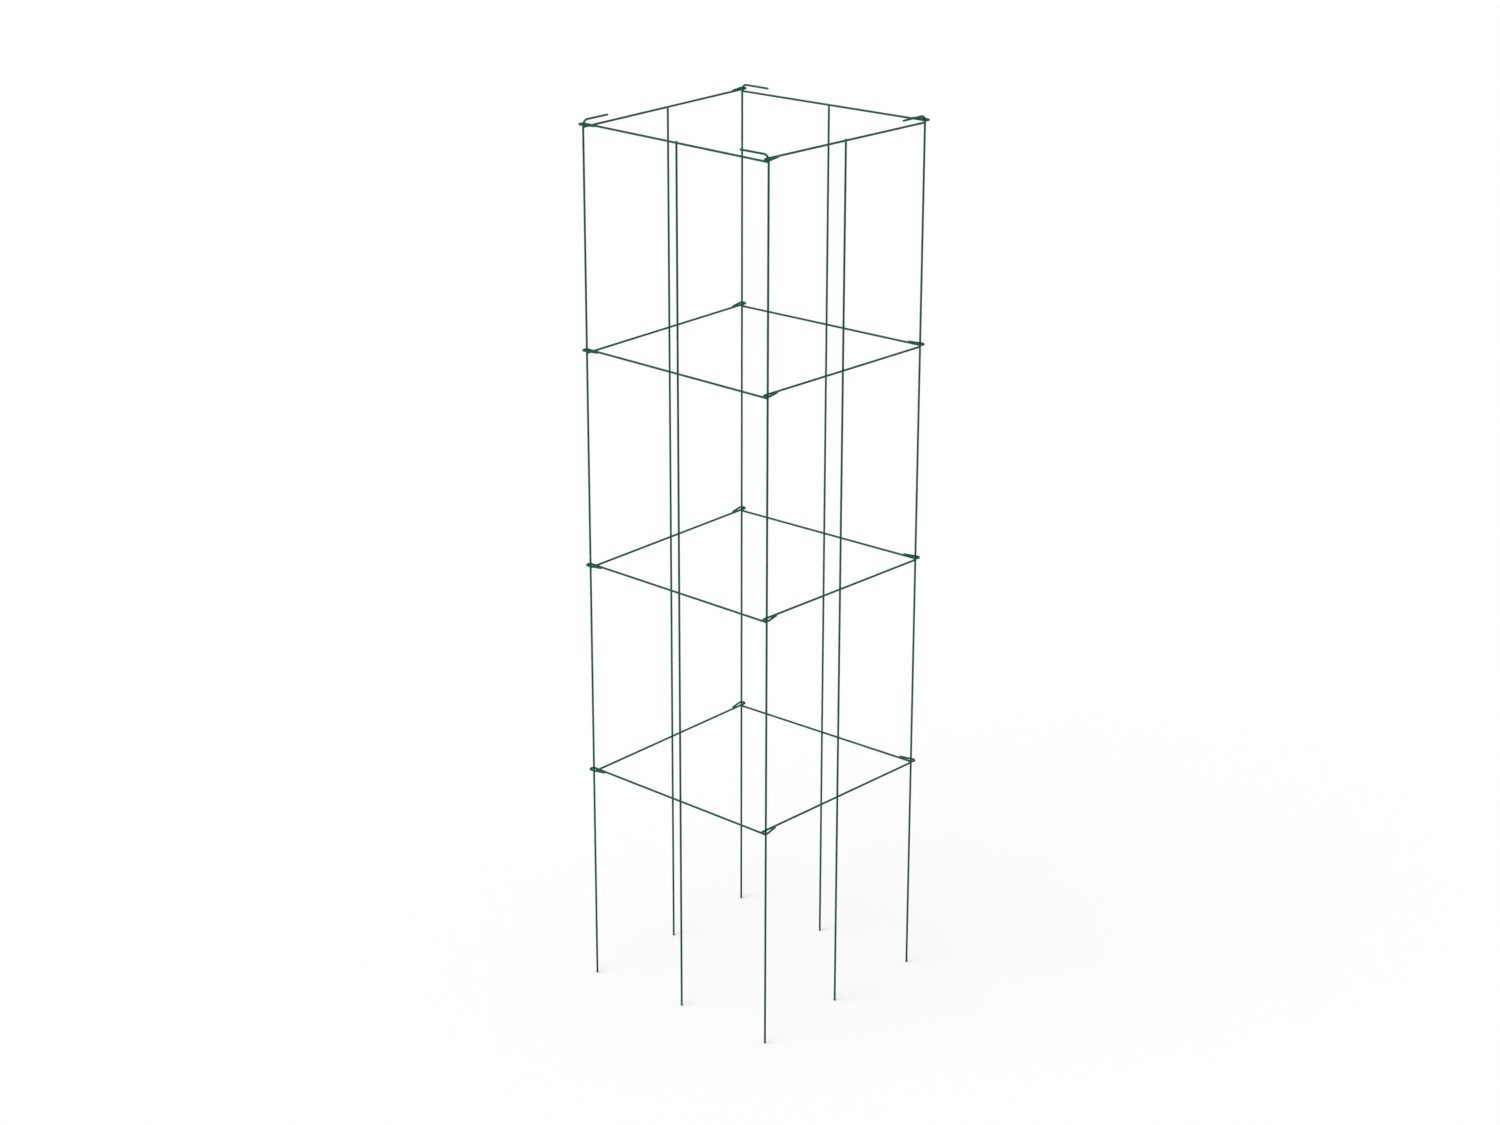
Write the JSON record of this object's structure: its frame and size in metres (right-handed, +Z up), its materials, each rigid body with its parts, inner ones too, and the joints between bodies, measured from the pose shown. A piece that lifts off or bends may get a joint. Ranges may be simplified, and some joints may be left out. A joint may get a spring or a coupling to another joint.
{
  "type": "folding plant tower",
  "caption": "Tall square plant support of green coated wire: hinged panels fold flat, open legs push into soil, and hooked corner tops keep the panels together.",
  "frame": {"origin": "on the ground, at the centre of the square between the corner uprights", "axes": "+Z up along the uprights; +Y towards the back panel, +X towards the right panel; seen from above, each panel runs clockwise from its own corner upright to the next"},
  "size_m": [0.3178, 0.3178, 1.1964],
  "materials": {
    "green_coated_wire": "satin"
  },
  "bodies": {
    "back_panel": {"back_hooked_upright": "green_coated_wire", "back_middle_upright": "green_coated_wire", "back_cross_wire_1": "green_coated_wire", "back_cross_wire_2": "green_coated_wire", "back_cross_wire_3": "green_coated_wire", "back_cross_wire_4": "green_coated_wire"},
    "right_panel": {"right_hooked_upright": "green_coated_wire", "right_middle_upright": "green_coated_wire", "right_cross_wire_1": "green_coated_wire", "right_cross_wire_2": "green_coated_wire", "right_cross_wire_3": "green_coated_wire", "right_cross_wire_4": "green_coated_wire"},
    "front_panel": {"front_hooked_upright": "green_coated_wire", "front_middle_upright": "green_coated_wire", "front_cross_wire_1": "green_coated_wire", "front_cross_wire_2": "green_coated_wire", "front_cross_wire_3": "green_coated_wire", "front_cross_wire_4": "green_coated_wire"},
    "left_panel": {"left_hooked_upright": "green_coated_wire", "left_middle_upright": "green_coated_wire", "left_cross_wire_1": "green_coated_wire", "left_cross_wire_2": "green_coated_wire", "left_cross_wire_3": "green_coated_wire", "left_cross_wire_4": "green_coated_wire"}
  },
  "joints": [
    {"name": "right_fold", "type": "hinge", "parent": "back_panel", "child": "right_panel", "pos_m": [0.1525, 0.1525, 0], "axis": [0, 0, 1], "range_deg": [-80, 80]},
    {"name": "left_fold", "type": "hinge", "parent": "back_panel", "child": "left_panel", "pos_m": [-0.1525, 0.1525, 0], "axis": [0, 0, 1], "range_deg": [-80, 80]},
    {"name": "front_fold", "type": "hinge", "parent": "right_panel", "child": "front_panel", "pos_m": [0.1525, -0.1525, 0], "axis": [0, 0, 1], "range_deg": [-80, 80]}
  ],
  "couplings": [
    {"joint": "left_fold", "follows": "right_fold", "ratio": 1},
    {"joint": "front_fold", "follows": "right_fold", "ratio": -1}
  ]
}
